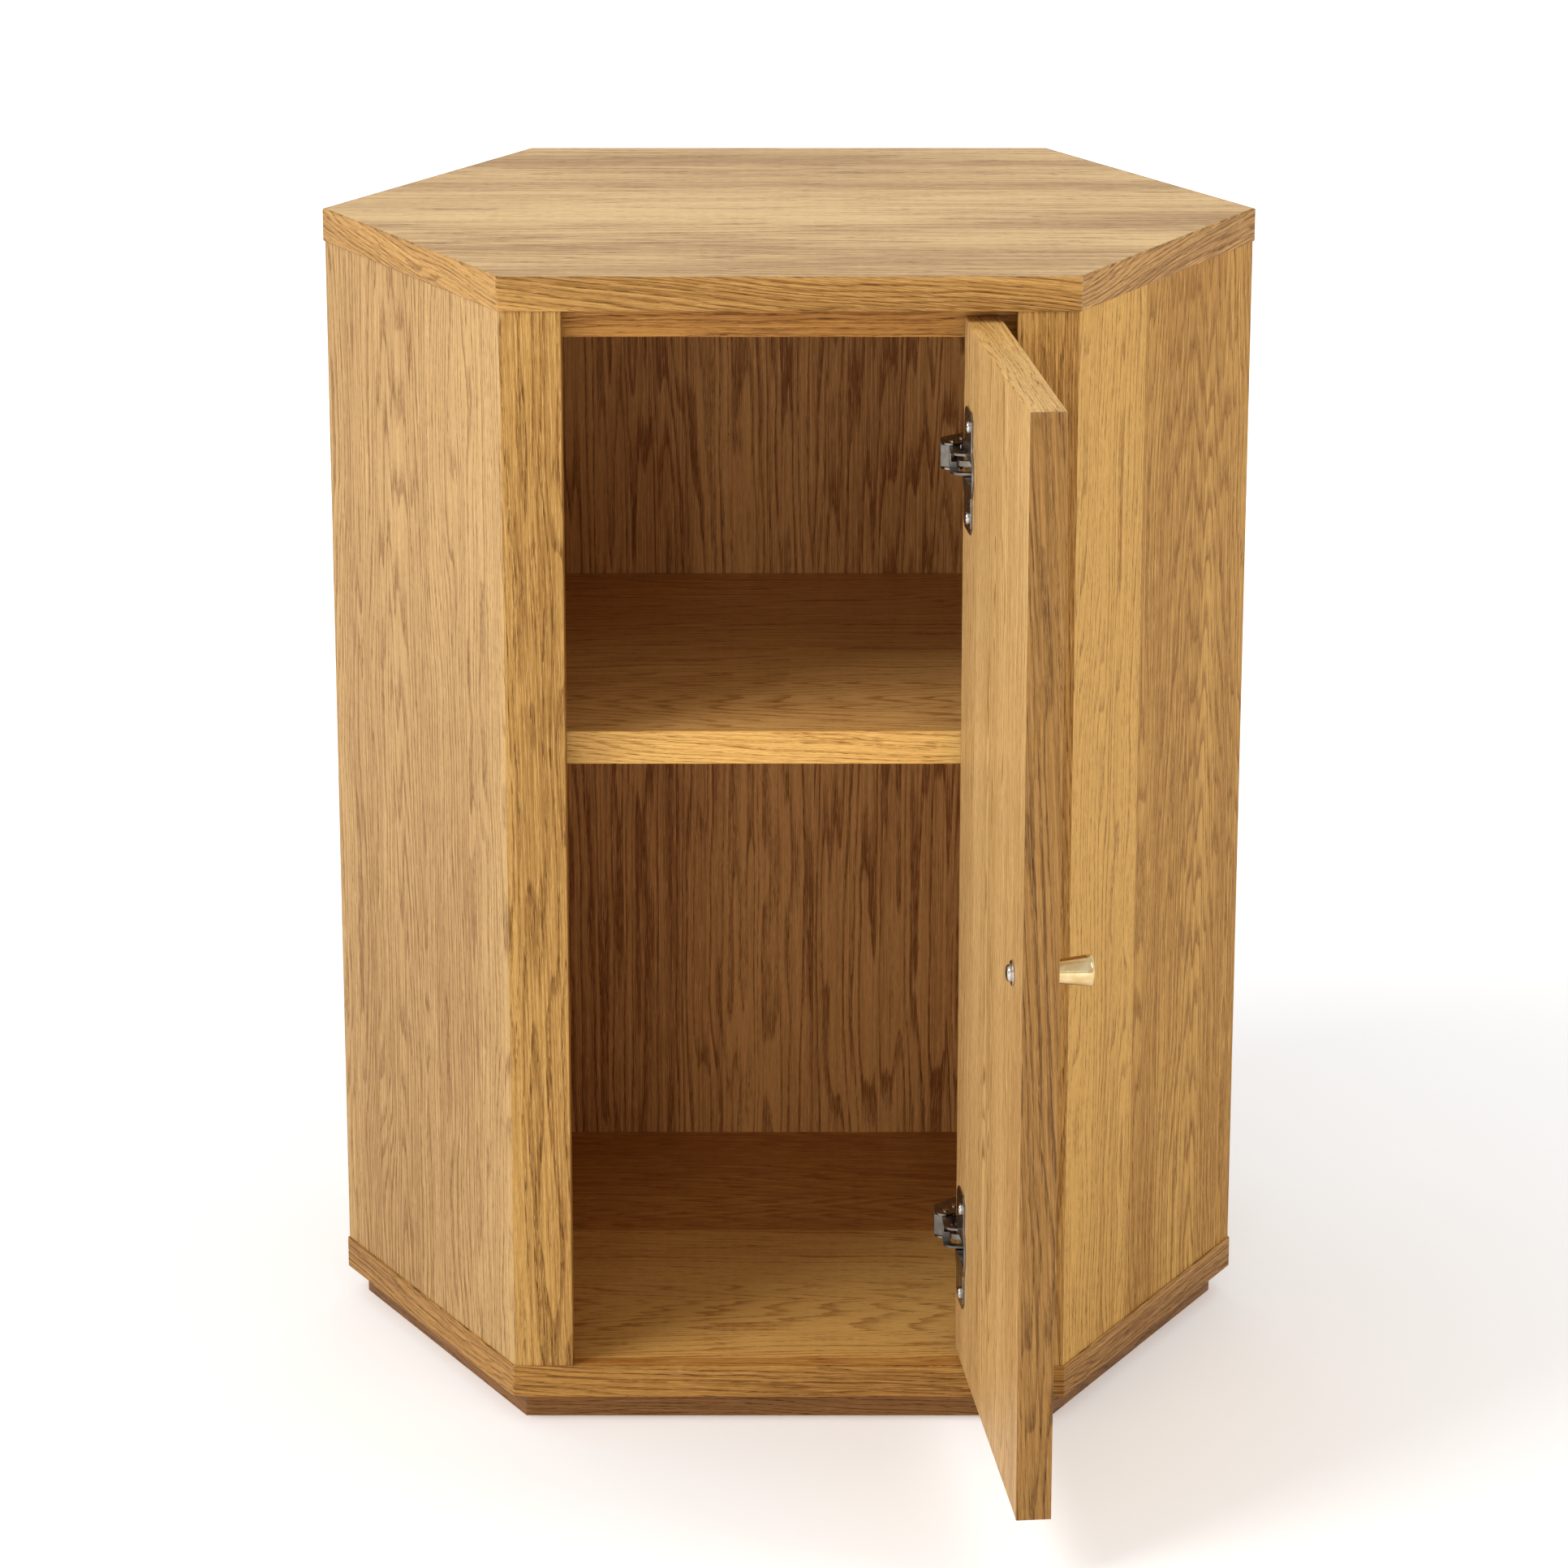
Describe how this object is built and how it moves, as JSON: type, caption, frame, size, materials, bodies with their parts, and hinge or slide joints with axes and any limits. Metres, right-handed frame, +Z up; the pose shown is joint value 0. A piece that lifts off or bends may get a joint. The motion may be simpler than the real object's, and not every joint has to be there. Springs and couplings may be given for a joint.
{
  "type": "hexagonal side cabinet",
  "caption": "Free-standing six-sided oak side cabinet with an inset hinged door, a shelf, a low plinth and a brass knob.",
  "frame": {"origin": "centre of the six-sided plan on the floor", "axes": "+X to the right seen from the front, -Y to the front where the door opens, +Z up"},
  "size_m": [0.5078, 0.5929, 0.632],
  "materials": {
    "oak_veneer": "satin clear lacquer over straight-grained oak veneer",
    "oak_edging": "satin clear lacquer over oak edge band",
    "oak_solid": "satin oak",
    "beech_dowel": "raw beech",
    "brass": "polished pale brass",
    "hinge_steel": "bright nickel plate",
    "hardware_steel": "bright zinc or nickel plate"
  },
  "bodies": {
    "cabinet": {"back_left_panel": "oak_veneer", "back_panel": "oak_veneer", "back_right_panel": "oak_veneer", "base_dowels": "beech_dowel", "base_edging": "oak_edging", "base_panel": "oak_veneer", "front_left_panel": "oak_veneer", "front_right_panel": "oak_veneer", "head_rail": "oak_veneer", "hinge_blocks": "oak_solid", "lower_arm": "hinge_steel", "lower_arm_pins": "hardware_steel", "lower_arm_screws": "hardware_steel", "lower_plate": "hinge_steel", "lower_plate_screws": "hardware_steel", "plinth_back": "oak_solid", "plinth_back_left": "oak_solid", "plinth_back_right": "oak_solid", "plinth_blocks": "oak_solid", "plinth_brace": "oak_solid", "plinth_front": "oak_solid", "plinth_front_left": "oak_solid", "plinth_front_right": "oak_solid", "shelf_edging": "oak_edging", "shelf_panel": "oak_veneer", "shelf_pins": "hardware_steel", "stile_left": "oak_veneer", "stile_right": "oak_veneer", "top_dowels": "beech_dowel", "top_edging": "oak_edging", "top_panel": "oak_veneer", "upper_arm": "hinge_steel", "upper_arm_pins": "hardware_steel", "upper_arm_screws": "hardware_steel", "upper_plate": "hinge_steel", "upper_plate_screws": "hardware_steel"},
    "door": {"door_bottom_edge": "oak_edging", "door_free_edge": "oak_edging", "door_hinge_edge": "oak_edging", "door_panel": "oak_veneer", "door_top_edge": "oak_edging", "knob": "brass", "knob_screw": "hardware_steel", "knob_washer": "hardware_steel", "lower_cup": "hinge_steel", "lower_cup_pins": "hardware_steel", "lower_cup_screws": "hardware_steel", "upper_cup": "hinge_steel", "upper_cup_pins": "hardware_steel", "upper_cup_screws": "hardware_steel"},
    "upper_outer_link": {"upper_outer_link": "hinge_steel"},
    "upper_inner_link": {"upper_inner_link": "hinge_steel"},
    "lower_outer_link": {"lower_outer_link": "hinge_steel"},
    "lower_inner_link": {"lower_inner_link": "hinge_steel"}
  },
  "joints": [
    {"name": "door_swing", "type": "hinge", "parent": "cabinet", "child": "door", "pos_m": [0.1025, -0.184, 0.3225], "axis": [0, 0, 1], "range_deg": [-96, 7]},
    {"name": "upper_outer_link_turn", "type": "hinge", "parent": "door", "child": "upper_outer_link", "pos_m": [0.0957, -0.1824, 0.532], "axis": [0, 0, 1], "range_deg": [-9.21, 120.02]},
    {"name": "upper_inner_link_turn", "type": "hinge", "parent": "door", "child": "upper_inner_link", "pos_m": [0.09985, -0.18267, 0.532], "axis": [0, 0, 1], "range_deg": [-8.09, 104.66]},
    {"name": "lower_outer_link_turn", "type": "hinge", "parent": "door", "child": "lower_outer_link", "pos_m": [0.0957, -0.1824, 0.104], "axis": [0, 0, 1], "range_deg": [-9.21, 120.02]},
    {"name": "lower_inner_link_turn", "type": "hinge", "parent": "door", "child": "lower_inner_link", "pos_m": [0.09985, -0.18267, 0.104], "axis": [0, 0, 1], "range_deg": [-8.09, 104.66]}
  ],
  "couplings": [
    {"joint": "upper_outer_link_turn", "follows": "door_swing", "ratio": -1.245},
    {"joint": "upper_inner_link_turn", "follows": "door_swing", "ratio": -1.085},
    {"joint": "lower_outer_link_turn", "follows": "door_swing", "ratio": -1.245},
    {"joint": "lower_inner_link_turn", "follows": "door_swing", "ratio": -1.085}
  ]
}
